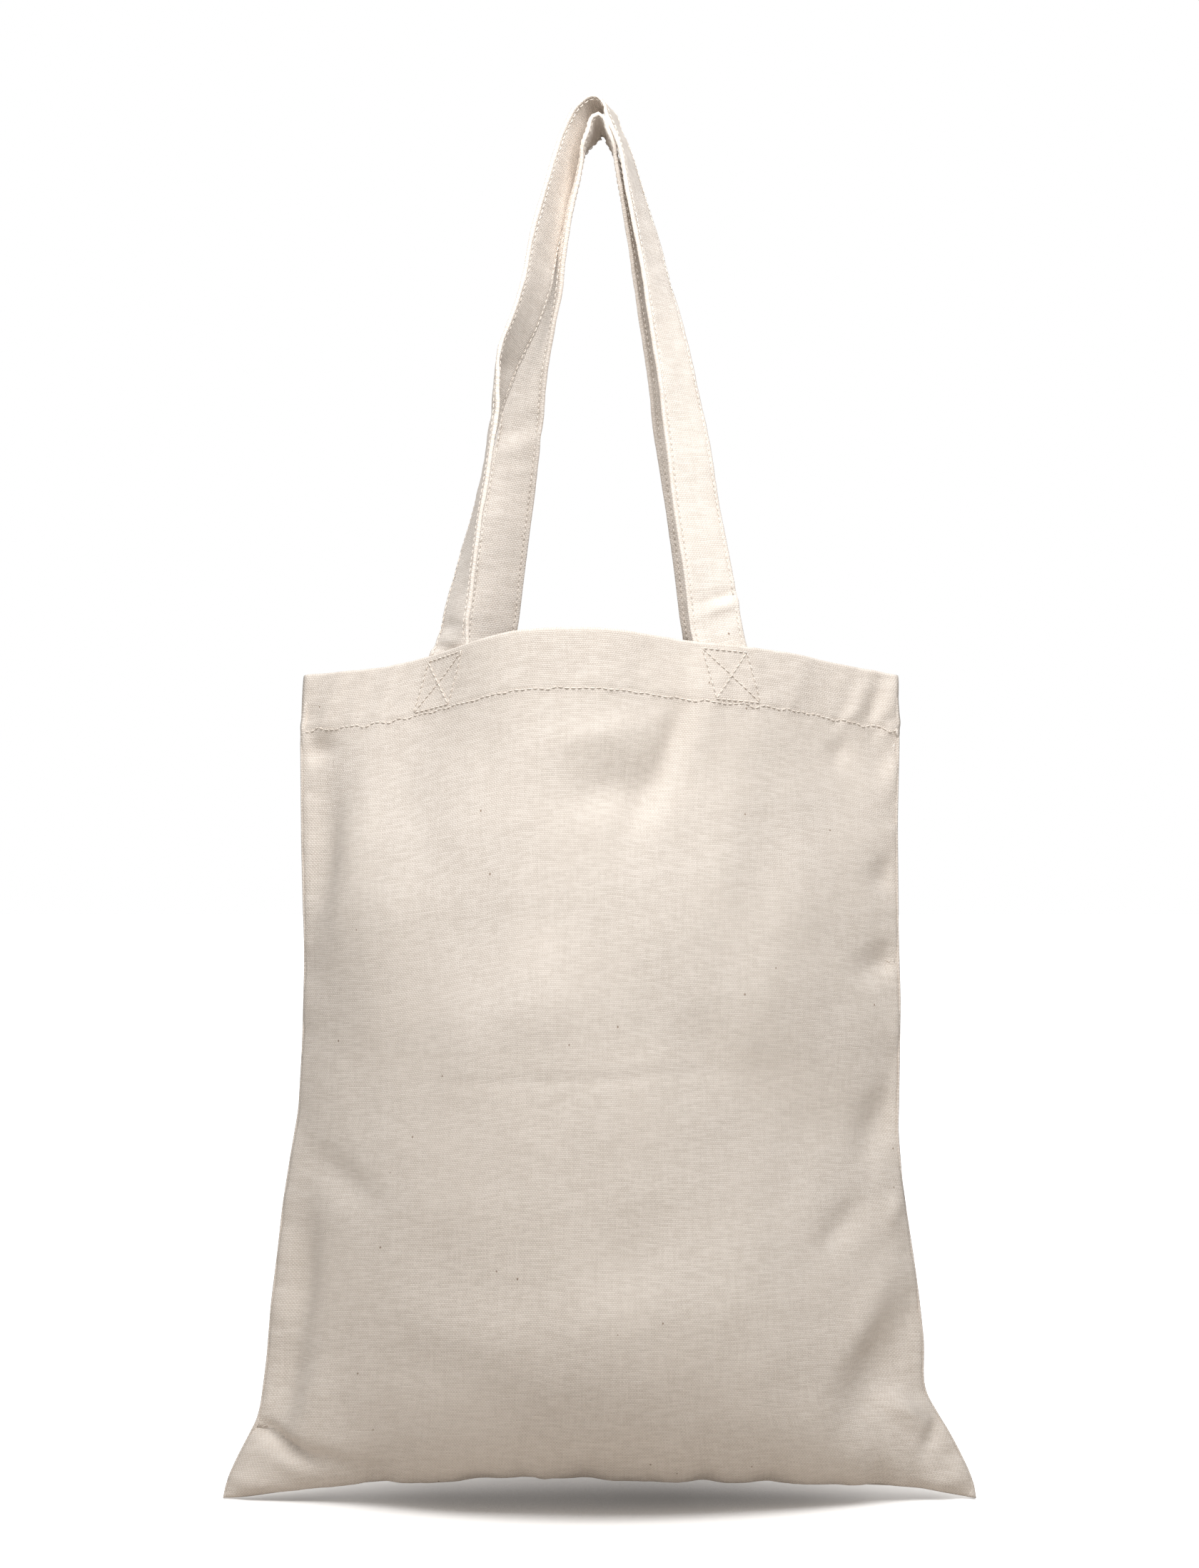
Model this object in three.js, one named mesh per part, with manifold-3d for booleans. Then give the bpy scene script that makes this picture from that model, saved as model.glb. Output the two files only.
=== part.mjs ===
// A canvas tote bag with two long handles, hanging by both handles from one hook.
//
// Millimetres. +Z is up, the front of the bag faces -Y and +X is right seen from the front. The origin is
// the middle of the flat underside of the lower handle's crown, where the hook carries the bag.
//
// The body is a pillow: two flat panels sewn together down both sides and along the bottom. A point of it
// is given by s, from -1 at the left seam to 1 at the right seam, and t, from 0 at the bottom seam to 1 at
// the mouth.

import * as THREE from 'three';
import { mergeVertices } from 'three/addons/utils/BufferGeometryUtils.js';
import Module from 'manifold-3d';

const wasm = await Module();
wasm.setup();

// The hanging body
const TIP_HALF_WIDTH = 190;      // half the flat width, which the two bottom corners still show
const BODY_HALF_WIDTH = 150;     // half width of the upper body, drawn in by the bulge
const FOOT_SPREAD = 17;          // how much wider each side is near the bottom
const FOOT_TOP = 50;             // up to this height each side keeps that extra width
const WAIST = 200;               // and from this height up it has none of it
const EAR_HEIGHT = 21;           // height over which a bottom corner flares out to its tip
const BELLY_DEPTH = 80;          // how far each panel bulges from the seams
const MOUTH_DEPTH = 52;          // the same at the mouth
const SHOULDER = 228;            // height where the belly begins to close towards the mouth
const BOTTOM_ROUND = 105;        // height over which the bottom rounds up into the belly
const HANG_HEIGHT = 694;         // from the hook down to the corner tips
const BODY_HEIGHT = 414;         // from the corner tips up to the ends of the mouth
const MOUTH_RISE = 20;           // how far the handles lift the middle of the mouth
const BOTTOM_RISE = 12;          // how far the bottom seam arches up between the corners

// The cloth and its sewing
const CANVAS = 1.0;
const GAP = 0.3;                 // clearance between pieces that touch
const HEM_DEPTH = 29;
const HEM_FOLD = 1.6;            // the two turned-in layers inside the hem
const HEM_STITCH_IN = 1.5;       // from the fold's lower edge up to its stitching
const HEM_END = 0.97;            // s where the fold runs out in the side seam
const ALLOWANCE = 7;             // width of the overlocked seam allowance inside
const ALLOWANCE_THICK = 1.4;
const SIDE_SEAM_START = 37;      // height where the side seam leaves the bottom corner
const SIDE_SEAM_STOP = 32;       // how far below the mouth it ends, under the hem
const BOTTOM_SEAM_REACH = 0.9;   // s where the bottom seam ends
const THREAD_RADIUS = 0.3;

// The handles
const STRAP_WIDTH = 27;
const STRAP_THICK = 2.4;
const STRAP_EDGE = 2.2;          // from the strap's edge to its topstitching
const STRAP_END_LENGTH = 27;     // sewn length inside the hem
const STRAP_END_DROP = 0.8;      // from the mouth down to where the sewn length begins
const BOX_TOP = 2;               // from the mouth down to the top of a box of stitching
const BOX_BOTTOM = 25.5;         // and down to its bottom
const CROWN_FLAT = 8;            // length of strap lying flat on the hook
const CROWN_STEP = 6.4;          // the outer crown lies this much higher than the inner one
const LEG_START = 2.5;           // the loose strap starts this far above the hem
const LEG_SWEEP = 0.42;          // share of the way to the crown that the strap keeps its first direction
const LEG_LEAN = 0.22;           // and how far it has come inwards over that length
const TWIST_END = 0.85;          // share of a leg in which the strap turns edge-on

// legs are the places across the hem where a handle is sewn; crownZ is the height of its crown above the
// hook's, and crownReach how far its legs stay level before they drop.
const HANDLES = [
  { name: 'front', side: -1, legs: [-73, 59], crownZ: CROWN_STEP, crownReach: 17 },
  { name: 'back', side: 1, legs: [-57, 57], crownZ: 0, crownReach: 7 },
];

// How finely the shapes are divided
const COLUMNS = 22;
const ROWS = 26;
const ROW_CROWDING = 1.3;        // rows lie closer together at the bottom, where the panel rounds
const LEG_STEPS = 20;
const HEM_STITCH_STEPS = 32;
const BOX_STITCH_STEPS = 4;
const SIDE_SEAM_STEPS = 14;
const BOTTOM_SEAM_STEPS = 20;
const THREAD_SIDES = 5;
const WELD_DISTANCE = 1e-4;

const canvasColour = 0xe6dccf;
const strapColour = 0xeee4d8;
const threadColour = 0xf3ebe0;

function clothMaterial(colour) {
  return new THREE.MeshStandardMaterial({ color: colour, roughness: 0.9, metalness: 0 });
}

function named(name, geometry, colour) {
  const mesh = new THREE.Mesh(geometry, clothMaterial(colour));
  mesh.name = name;
  return mesh;
}

// ---- the pillow surface ------------------------------------------------------------------------------

function bottomEdge(s) {
  return -HANG_HEIGHT + BOTTOM_RISE * (1 - s * s);
}

function mouthEdge(s) {
  return -HANG_HEIGHT + BODY_HEIGHT + MOUTH_RISE * (1 - s * s);
}

function halfWidth(t) {
  const height = t * BODY_HEIGHT;
  const foot = FOOT_SPREAD * (1 - THREE.MathUtils.smoothstep(height, FOOT_TOP, WAIST));
  const flare = TIP_HALF_WIDTH - BODY_HALF_WIDTH - FOOT_SPREAD;
  return BODY_HALF_WIDTH + foot + flare * Math.exp(-height / EAR_HEIGHT);
}

function bulge(t) {
  const height = t * BODY_HEIGHT;
  const rounding = Math.min(height / BOTTOM_ROUND, 1);
  const bottom = Math.sqrt(1 - (1 - rounding) ** 2);
  const mouth = THREE.MathUtils.smoothstep(height, SHOULDER, BODY_HEIGHT);
  return (BELLY_DEPTH + (MOUTH_DEPTH - BELLY_DEPTH) * mouth) * bottom;
}

function innerSurface(side, s, t) {
  const x = halfWidth(t) * s;
  const y = side * (GAP / 2 + bulge(t) * (1 - s * s));
  const z = THREE.MathUtils.lerp(bottomEdge(s), mouthEdge(s), t);
  return new THREE.Vector3(x, y, z);
}

function outwardNormal(side, s, t) {
  const step = 0.01;
  const left = innerSurface(side, Math.max(s - step, -1), t);
  const right = innerSurface(side, Math.min(s + step, 1), t);
  const below = innerSurface(side, s, Math.max(t - step, 0));
  const above = innerSurface(side, s, Math.min(t + step, 1));
  const across = right.sub(left);
  const upward = above.sub(below);
  return across.cross(upward).multiplyScalar(-side).normalize();
}

// A point at a distance outside the panel's inner face, or inside the bag where offset is negative.
function onPanel(side, s, t, offset) {
  const point = innerSurface(side, s, t);
  return point.addScaledVector(outwardNormal(side, s, t), offset);
}

// ---- geometry helpers --------------------------------------------------------------------------------

// Moves every corner of a box or tube to its place and welds it into one closed body.
function warp(geometry, place) {
  const position = geometry.attributes.position;
  const corner = new THREE.Vector3();
  for (let i = 0; i < position.count; i += 1) {
    corner.fromBufferAttribute(position, i);
    const placed = place(corner);
    position.setXYZ(i, placed.x, placed.y, placed.z);
  }
  return weld(geometry);
}

function weld(geometry) {
  geometry.deleteAttribute('normal');
  geometry.deleteAttribute('uv');
  return mergeVertices(geometry, WELD_DISTANCE);
}

function toSolid(geometry) {
  const vertProperties = new Float32Array(geometry.attributes.position.array);
  const triVerts = new Uint32Array(geometry.index.array);
  return new wasm.Manifold(new wasm.Mesh({ numProp: 3, vertProperties, triVerts }));
}

function join(geometries) {
  const joined = geometries.map(toSolid).reduce((sum, solid) => sum.add(solid));
  const mesh = joined.getMesh();
  const geometry = new THREE.BufferGeometry();
  geometry.setAttribute('position', new THREE.BufferAttribute(mesh.vertProperties, 3));
  geometry.setIndex(new THREE.BufferAttribute(mesh.triVerts, 1));
  return geometry;
}

// A patch of cloth that follows a panel, between two offsets from its inner face.
function patch(side, sRange, tRange, offsets, columns, rows, crowd = 1) {
  const box = new THREE.BoxGeometry(1, 1, 1, columns, 1, rows);
  return warp(box, (corner) => {
    const s = THREE.MathUtils.lerp(sRange[0], sRange[1], corner.x + 0.5);
    const t = THREE.MathUtils.lerp(tRange[0], tRange[1], (corner.z + 0.5) ** crowd);
    const outer = 0.5 + side * corner.y;
    return onPanel(side, s, t, THREE.MathUtils.lerp(offsets[0], offsets[1], outer));
  });
}

// A round thread through the points, each with the normal of the cloth that it lies on.
function thread(points, normals) {
  const last = points.length - 1;
  const tube = new THREE.CylinderGeometry(THREAD_RADIUS, THREAD_RADIUS, 1, THREAD_SIDES, last);
  return warp(tube, (corner) => {
    const i = Math.round((corner.y + 0.5) * last);
    const along = points[Math.min(i + 1, last)].clone().sub(points[Math.max(i - 1, 0)]);
    const sideways = along.cross(normals[i]).normalize();
    return points[i].clone().addScaledVector(sideways, corner.x).addScaledVector(normals[i], corner.z);
  });
}

// ---- the body ----------------------------------------------------------------------------------------

function makePanel(side) {
  const cloth = patch(side, [-1, 1], [0, 1], [0, CANVAS], COLUMNS, ROWS, ROW_CROWDING);
  const hemBottom = 1 - HEM_DEPTH / BODY_HEIGHT;
  const fold = patch(side, [-HEM_END, HEM_END], [hemBottom, 1], [-HEM_FOLD, CANVAS / 2], COLUMNS, 2);
  return join([cloth, fold]);
}

function hemStitching(side) {
  const t = 1 - (HEM_DEPTH - HEM_STITCH_IN) / BODY_HEIGHT;
  return stitchLine(side, [-HEM_END, t], [HEM_END, t], HEM_STITCH_STEPS);
}

// A line of thread on the outside of a panel, from one [s, t] to another.
function stitchLine(side, from, to, steps) {
  const points = [];
  const normals = [];
  for (let i = 0; i <= steps; i += 1) {
    const s = THREE.MathUtils.lerp(from[0], to[0], i / steps);
    const t = THREE.MathUtils.lerp(from[1], to[1], i / steps);
    points.push(onPanel(side, s, t, CANVAS + GAP + THREAD_RADIUS));
    normals.push(outwardNormal(side, s, t));
  }
  return thread(points, normals);
}

// The two seam allowances, overlocked together, that stand inside the bag along a side seam.
function sideSeam(side) {
  const bottomT = SIDE_SEAM_START / BODY_HEIGHT;
  const topT = 1 - SIDE_SEAM_STOP / BODY_HEIGHT;
  const strip = new THREE.BoxGeometry(ALLOWANCE, ALLOWANCE_THICK, 1, 1, 1, SIDE_SEAM_STEPS);
  return warp(strip, (corner) => {
    const t = THREE.MathUtils.lerp(bottomT, topT, corner.z + 0.5);
    const clearance = (ALLOWANCE_THICK / 2 + GAP) * halfWidth(t) / (2 * bulge(t)) + GAP;
    const x = side * (halfWidth(t) - clearance - ALLOWANCE / 2) + corner.x;
    return new THREE.Vector3(x, corner.y, THREE.MathUtils.lerp(bottomEdge(1), mouthEdge(1), t));
  });
}

function bottomSeam() {
  const length = 2 * BOTTOM_SEAM_REACH;
  const strip = new THREE.BoxGeometry(length, ALLOWANCE_THICK, ALLOWANCE, BOTTOM_SEAM_STEPS, 1, 1);
  return warp(strip, (corner) => {
    const z = bottomEdge(corner.x) + CANVAS + GAP + ALLOWANCE / 2 + corner.z;
    return new THREE.Vector3(halfWidth(0) * corner.x, corner.y, z);
  });
}

// ---- the handles -------------------------------------------------------------------------------------

// The sewn end of a strap, flat against the inside of the hem, with its middle at x.
function strapEnd(side, x) {
  const left = (x - STRAP_WIDTH / 2) / halfWidth(1);
  const right = (x + STRAP_WIDTH / 2) / halfWidth(1);
  const bottom = 1 - STRAP_END_LENGTH / BODY_HEIGHT;
  const top = 1 - STRAP_END_DROP / BODY_HEIGHT;
  const outer = -HEM_FOLD - GAP;
  return patch(side, [left, right], [bottom, top], [outer - STRAP_THICK, outer], 2, 2);
}

// The box of stitching with a cross in it that holds a strap's end, on the outside of the hem.
function boxStitching(side, x) {
  const halfSpan = STRAP_WIDTH / 2 - STRAP_EDGE;
  const left = (x - halfSpan) / halfWidth(1);
  const right = (x + halfSpan) / halfWidth(1);
  const top = 1 - BOX_TOP / BODY_HEIGHT;
  const bottom = 1 - BOX_BOTTOM / BODY_HEIGHT;
  const lines = [
    [[left, top], [right, top]],
    [[left, bottom], [right, bottom]],
    [[left, bottom], [left, top]],
    [[right, bottom], [right, top]],
    [[left, bottom], [right, top]],
    [[left, top], [right, bottom]],
  ];
  return join(lines.map(([from, to]) => stitchLine(side, from, to, BOX_STITCH_STEPS)));
}

// One leg of a handle from the hem to the crown, as the curve of its centre line.
function legCurve(handle, x) {
  const s = x / halfWidth(1);
  const outward = Math.sign(x);
  const base = onPanel(handle.side, s, 1, -HEM_FOLD - GAP - STRAP_THICK / 2);
  base.z += LEG_START;
  const crownZ = handle.crownZ + STRAP_THICK / 2;
  const crown = new THREE.Vector3(outward * CROWN_FLAT / 2, 0, crownZ);
  const lower = base.clone().lerp(crown, LEG_SWEEP);
  lower.x = THREE.MathUtils.lerp(base.x, crown.x, LEG_LEAN);
  const upper = crown.clone();
  upper.x += outward * handle.crownReach;
  return new THREE.CubicBezierCurve3(base, lower, upper, crown);
}

// The strap's sections along the whole loop: up the left leg, over the crown and down the right leg. The
// inner edge turns to the front on the way up, so the face that shows in front at the hem is outside at
// the crown. inward is the direction across the strap to that inner edge, and face is the outer face's.
function loopSections(handle) {
  const sections = [];
  handle.legs.forEach((x, legIndex) => {
    const curve = legCurve(handle, x);
    const leg = [];
    for (let i = 0; i <= LEG_STEPS; i += 1) {
      const t = i / LEG_STEPS;
      const direction = legIndex === 0 ? 1 : -1;
      const along = curve.getTangent(t).multiplyScalar(direction);
      const turn = THREE.MathUtils.smoothstep(t, 0, TWIST_END) * Math.PI / 2;
      const inward = new THREE.Vector3(direction * Math.cos(turn), -Math.sin(turn), 0);
      inward.addScaledVector(along, -inward.dot(along)).normalize();
      const face = inward.clone().cross(along);
      leg.push({ centre: curve.getPoint(t), inward, face });
    }
    if (legIndex === 1) leg.reverse();
    sections.push(...leg);
  });
  return sections;
}

function onStrap(section, across, out) {
  return section.centre.clone().addScaledVector(section.inward, across).addScaledVector(section.face, out);
}

function loopStrap(sections) {
  const last = sections.length - 1;
  const box = new THREE.BoxGeometry(STRAP_WIDTH, STRAP_THICK, 1, 2, 1, last);
  return warp(box, (corner) => {
    const section = sections[Math.round((corner.z + 0.5) * last)];
    return onStrap(section, corner.x, -corner.y);
  });
}

function edgeStitching(sections, edge) {
  const across = edge * (STRAP_WIDTH / 2 - STRAP_EDGE);
  const out = STRAP_THICK / 2 + GAP + THREAD_RADIUS;
  const points = sections.map((section) => onStrap(section, across, out));
  return thread(points, sections.map((section) => section.face));
}

// ---- the whole bag -----------------------------------------------------------------------------------

const bag = new THREE.Group();

const body = new THREE.Group();
for (const [name, side] of [['front', -1], ['back', 1]]) {
  body.add(named(`${name}_panel`, makePanel(side), canvasColour));
  body.add(named(`${name}_hem_stitching`, hemStitching(side), threadColour));
}
body.add(named('left_side_seam', sideSeam(-1), canvasColour));
body.add(named('right_side_seam', sideSeam(1), canvasColour));
body.add(named('bottom_seam', bottomSeam(), canvasColour));
bag.add(body);

for (const handle of HANDLES) {
  handle.legs.forEach((x, i) => {
    const end = `${handle.name}_${['left', 'right'][i]}`;
    body.add(named(`${end}_strap_end`, strapEnd(handle.side, x), strapColour));
    body.add(named(`${end}_box_stitching`, boxStitching(handle.side, x), threadColour));
  });
  const sections = loopSections(handle);
  const loop = new THREE.Group();
  loop.add(named(`${handle.name}_handle`, loopStrap(sections), strapColour));
  loop.add(named(`${handle.name}_handle_inner_edge_stitching`, edgeStitching(sections, 1), threadColour));
  loop.add(named(`${handle.name}_handle_outer_edge_stitching`, edgeStitching(sections, -1), threadColour));
  bag.add(loop);
}

export default bag;
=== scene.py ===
"""A canvas tote bag that hangs full from its two long handles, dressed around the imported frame.

Shapes are worked out in millimetres in the frame's own axes: +Z up, the front faces -Y, and the origin
is under the lower handle's crown. Meshes are made in metres. On a panel, s runs from -1 at the left seam
to 1 at the right seam and t from 0 at the bottom seam to 1 at the mouth.
"""
import math

import bmesh
import bpy
import numpy as np
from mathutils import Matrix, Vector

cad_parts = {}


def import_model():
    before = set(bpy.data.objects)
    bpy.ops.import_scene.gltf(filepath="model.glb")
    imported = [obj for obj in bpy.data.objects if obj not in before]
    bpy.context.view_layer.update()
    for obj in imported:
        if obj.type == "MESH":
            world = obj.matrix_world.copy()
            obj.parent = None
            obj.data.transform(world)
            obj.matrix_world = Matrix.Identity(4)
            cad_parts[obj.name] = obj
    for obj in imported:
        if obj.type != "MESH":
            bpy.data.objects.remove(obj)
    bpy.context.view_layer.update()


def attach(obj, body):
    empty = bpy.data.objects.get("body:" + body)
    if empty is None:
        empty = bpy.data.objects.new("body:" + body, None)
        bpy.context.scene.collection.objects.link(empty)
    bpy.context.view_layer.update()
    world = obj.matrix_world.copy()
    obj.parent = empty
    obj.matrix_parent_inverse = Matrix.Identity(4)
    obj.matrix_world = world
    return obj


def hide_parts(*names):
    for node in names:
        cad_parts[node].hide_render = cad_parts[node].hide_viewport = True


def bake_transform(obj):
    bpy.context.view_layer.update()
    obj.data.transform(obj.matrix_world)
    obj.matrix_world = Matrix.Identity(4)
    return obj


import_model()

MM = 0.001

# ---- sizes -----------------------------------------------------------------------------------------

FLOOR = -694.0                 # the corner tips just touch it
BODY_HEIGHT = 414.0            # from the corner tips up to the ends of the mouth
FLAT_HALF_WIDTH = 190.0
FLAT_HEIGHT = 440.0
BELLY = 80.0                   # how far each panel bulges from the seams
BELLY_AT_MOUTH = 58.0          # what that would shrink to at the mouth
LEAN = 0.15                    # the front is fullest left of the middle, and the back right of it
BOTTOM_ROUND = 105.0           # height over which the bottom rounds up into the belly
SHOULDER = 228.0               # height where the belly begins to close towards the mouth
MOUTH_FROM = 285.0             # height where the mouth's own outline begins to take over
MOUTH_COLLAR = 12.0            # depth of the band below the mouth that is all its own outline
SEAM_HALF_THICK = 0.5          # from the bag's middle plane to a panel's face at the seams
SEAM_GROOVE = 0.7              # depth of the shallow groove in which the panels meet there
SEAM_GROOVE_WIDTH = 1.6

CANVAS = 0.9                   # thickness of the cloth
HEM_DEPTH = 29.0
HEM_THICK = 2.5
HEM_LINE = HEM_DEPTH - 1.5     # from the mouth down to the hem's stitching
STRAP_WIDTH = 27.0
STRAP_HALF = STRAP_WIDTH / 2
STRAP_THICK = 2.3
SEWN_LENGTH = 27.0             # length of strap inside the hem
SEWN_GAP = 0.15                # between the hem and the strap behind it
EDGE_MARGIN = 2.3              # from a strap's edge to the stitching along it
BOX_MARGIN = 1.9               # from a strap's edge to the box of stitching at its end
BOX_TOP = 2.0                  # that box's top and bottom, down from the mouth
BOX_BOTTOM = HEM_DEPTH - 3.2
STITCH_LIFT = 0.12             # from the cloth to the middle of a thread sewn through it
SEAM_ALLOWANCE = 6.5           # width of the overlocked edges inside the bag
SEAM_INSET = 2.2               # how far inside the side seams they begin

# The seams' distance from the middle, by height above the floor
LEFT_EDGE = [
    (0, 190), (7, 188.5), (14, 186), (26, 180), (37, 174.5), (44, 171.5), (71, 168), (98, 166),
    (125, 162.5), (148, 160), (173, 156), (196, 152), (231, 150), (270, 149), (330, 150.5),
    (385, 151), (414, 148.5),
]
RIGHT_EDGE = [
    (0, 190), (8, 189), (16, 185.5), (30, 178.5), (43, 171), (50, 166), (58, 163.5), (79, 164),
    (97, 162), (119, 159), (158, 153), (185, 151), (251, 152), (285, 151), (341, 150.5),
    (387, 151.5), (414, 150),
]
# Heights of the bottom seam above the floor, by s
BOTTOM_EDGE = [
    (-1, 0), (-0.94, 0.6), (-0.85, 3.2), (-0.75, 5), (-0.58, 8.3), (-0.49, 8.5), (-0.36, 9.6),
    (-0.27, 11.2), (-0.18, 12.6), (-0.07, 11), (0.14, 10), (0.32, 9), (0.54, 8), (0.65, 7),
    (0.78, 6), (0.86, 5), (0.93, 2.2), (0.97, 0.6), (1, 0),
]
# Height of the mouth above its ends, and how far it stands out from the seams, by s
FRONT_MOUTH_RISE = [
    (-1, 0), (-0.72, 3), (-0.56, 8.3), (-0.45, 13), (-0.28, 19.4), (-0.1, 20.6), (0.04, 20.2),
    (0.3, 14.5), (0.49, 12.3), (0.66, 9.6), (0.78, 5.5), (0.9, 2.6), (1, 0),
]
FRONT_MOUTH_OUT = [
    (-1, 0), (-0.85, 11), (-0.7, 20), (-0.57, 29), (-0.4, 53), (-0.28, 60), (-0.14, 63),
    (0.04, 62), (0.12, 57), (0.2, 51), (0.38, 44), (0.5, 38), (0.66, 26), (0.8, 13), (1, 0),
]
BACK_MOUTH_RISE = [
    (-1, 0), (-0.75, 4), (-0.45, 13), (-0.2, 18.5), (0.1, 19.5), (0.4, 15), (0.7, 7), (1, 0),
]
BACK_MOUTH_OUT = [
    (-1, 0), (-0.8, 14), (-0.6, 28), (-0.4, 43), (-0.2, 54), (0, 58), (0.2, 55), (0.4, 43),
    (0.6, 31), (0.8, 16), (1, 0),
]


def smoothstep(x, low, high):
    x = np.clip((x - low) / (high - low), 0.0, 1.0)
    return x * x * (3 - 2 * x)


def lerp(a, b, x):
    return a + (b - a) * x


def profile(points, x, soften):
    """The value at x of a line through the points, with its corners rounded over that distance."""
    xs, ys = np.array(points, float).T
    x = np.asarray(x, float)
    weights = np.exp(-np.linspace(-2, 2, 9) ** 2 / 2)
    offsets = np.linspace(-2, 2, 9) * soften
    value = sum(w * np.interp(x + o, xs, ys) for w, o in zip(weights, offsets)) / weights.sum()
    # the ends stay where they are
    room = np.clip(np.minimum(x - xs[0], xs[-1] - x) / (2 * soften + 1e-9), 0, 1)
    return lerp(np.interp(x, xs, ys), value, room)


def ripples(x, z, seed, wavelength, count=9):
    """A soft random relief about 1 high, from plane waves around one wavelength."""
    rng = np.random.RandomState(seed)
    total = np.zeros(np.broadcast(x, z).shape)
    for _ in range(count):
        turn = rng.uniform(0, math.pi)
        k = 2 * math.pi / (wavelength * rng.uniform(0.7, 1.5))
        total += np.sin(k * (x * math.cos(turn) + z * math.sin(turn)) + rng.uniform(0, 2 * math.pi))
    return total / math.sqrt(count / 2)


def wobble(x, seed, wavelength, count=6):
    """The same along a line, from fewer waves."""
    rng = np.random.RandomState(seed)
    total = np.zeros(np.shape(x))
    for _ in range(count):
        k = 2 * math.pi / (wavelength * rng.uniform(0.6, 1.7))
        total += np.sin(k * x + rng.uniform(0, 2 * math.pi))
    return total / math.sqrt(count / 2)


def fold(x, z, at, turn, length, width, height):
    """A soft ridge, or a dent where height is negative, lying at an angle on a panel."""
    c, s = math.cos(math.radians(turn)), math.sin(math.radians(turn))
    along = (x - at[0]) * c + (z - at[1]) * s
    across = -(x - at[0]) * s + (z - at[1]) * c
    return height * np.exp(-((along / length) ** 2) - (across / width) ** 2)


# ---- folds and dents: (x, z), turn in degrees, half length, half width, height -----------------------

FOLD_GAIN = 1.6                # all the heights below are scaled by this
FRONT_FOLDS = [
    ((-139, -374), 86, 36, 9, -3.2),      # hollow along the upper left seam
    ((-118, -352), 80, 36, 13, 1.6),      # and the ridge beside it
    ((-112, -404), 88, 40, 24, 2.0),
    ((-142, -317), 20, 9, 6, -2.4),       # pinch under the hem's left end
    ((138, -301), 84, 11, 3, -1.0),       # folds in the hem's right end
    ((128, -298), 80, 12, 4, 0.6),
    ((121, -318), 60, 7, 5, -1.0),
    ((143, -324), 80, 9, 6, -1.1),
    ((0, -310), 10, 24, 8, 1.2),          # the canvas rolls over under the middle of the hem
    ((6, -336), 18, 19, 12, -2.8),        # into a hollow
    ((22, -342), 62, 18, 9, -2.3),
    ((2, -400), 88, 50, 44, -1.9),        # that fades slowly downwards
    ((36, -312), 74, 20, 6, -2.0),        # and runs up to the right
    ((50, -300), 82, 26, 9, 1.2),
    ((62, -352), 84, 34, 18, 1.7),
    ((-34, -322), 76, 26, 14, 0.9),
    ((-61, -402), 70, 40, 32, -2.6),      # broad shallow hollow at the upper left
    ((144, -380), 14, 8, 8, -1.9),        # puckers down the right seam
    ((143, -424), 12, 13, 9, -2.8),
    ((141, -503), 72, 20, 10, -3.2),
    ((149, -546), 60, 10, 5, 1.4),
    ((122, -551), 42, 16, 8, -1.8),
    ((141, -622), 62, 26, 14, -5.4),      # the hollow above the right ear
    ((152, -646), -40, 16, 5, 2.6),       # and the ridge that runs into it
    ((132, -600), 62, 26, 9, 1.6),
    ((-129, -527), -32, 24, 9, -1.5),     # diagonal fold at the left
    ((-150, -584), 84, 34, 8, -3.4),      # hollow beside the lower left seam
    ((-157, -634), 80, 22, 8, -3.2),
    ((-142, -640), 74, 24, 8, 1.6),
    ((-8, -475), 2, 74, 2.6, -0.5),       # a faint crease right across
    ((-30, -440), 40, 40, 18, 1.2),
    ((60, -470), -35, 44, 20, -1.3),
    ((-90, -450), 75, 44, 18, -1.2),
    ((20, -560), 20, 52, 20, -1.3),
    ((-60, -600), -20, 46, 18, 1.2),
    ((88, -420), 70, 44, 16, 1.2),
    ((-159, -664), -30, 18, 4.2, -4.6),   # crease from the left pinch
    ((-136, -670), -18, 18, 5, -1.8),
    ((-168, -688), -12, 22, 7, 1.6),      # the left ear's lobe
    ((168, -660), 62, 12, 4, -2.0),
    ((174, -686), 30, 14, 6, 1.4),
]
BACK_FOLDS = [
    ((140, -360), 86, 30, 7, -2.6),
    ((118, -345), 82, 30, 12, 1.8),
    ((-20, -326), 10, 18, 9, -2.6),
    ((-44, -350), 70, 30, 14, 1.6),
    ((36, -338), 60, 26, 12, -1.6),
    ((-146, -410), 12, 12, 7, -2.2),
    ((-143, -480), 64, 16, 8, -2.6),
    ((-124, -540), -40, 18, 8, -1.8),
    ((144, -520), 70, 18, 8, -2.4),
    ((-150, -610), -60, 22, 9, -3.4),
    ((150, -622), 66, 22, 9, -3.2),
    ((60, -430), 50, 50, 20, 1.3),
    ((-70, -460), -35, 48, 20, -1.4),
    ((10, -540), 10, 60, 18, -1.2),
    ((70, -590), -20, 44, 18, 1.2),
    ((159, -664), 30, 18, 4.5, -4.0),
    ((-159, -664), -30, 18, 4.5, -4.0),
    ((-172, -678), -36, 12, 7, 2.0),
    ((172, -678), 36, 12, 7, 2.0),
]
# Where the bottom seam draws the canvas in, by x
FRONT_PUCKERS = [(-6, 9), (52, 8), (82, 9), (140, 7), (-60, 10), (-112, 9)]
BACK_PUCKERS = [(14, 9), (-40, 9), (-84, 8), (66, 10), (118, 9), (-130, 8)]
PUCKER_DEPTH = 2.8


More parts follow.
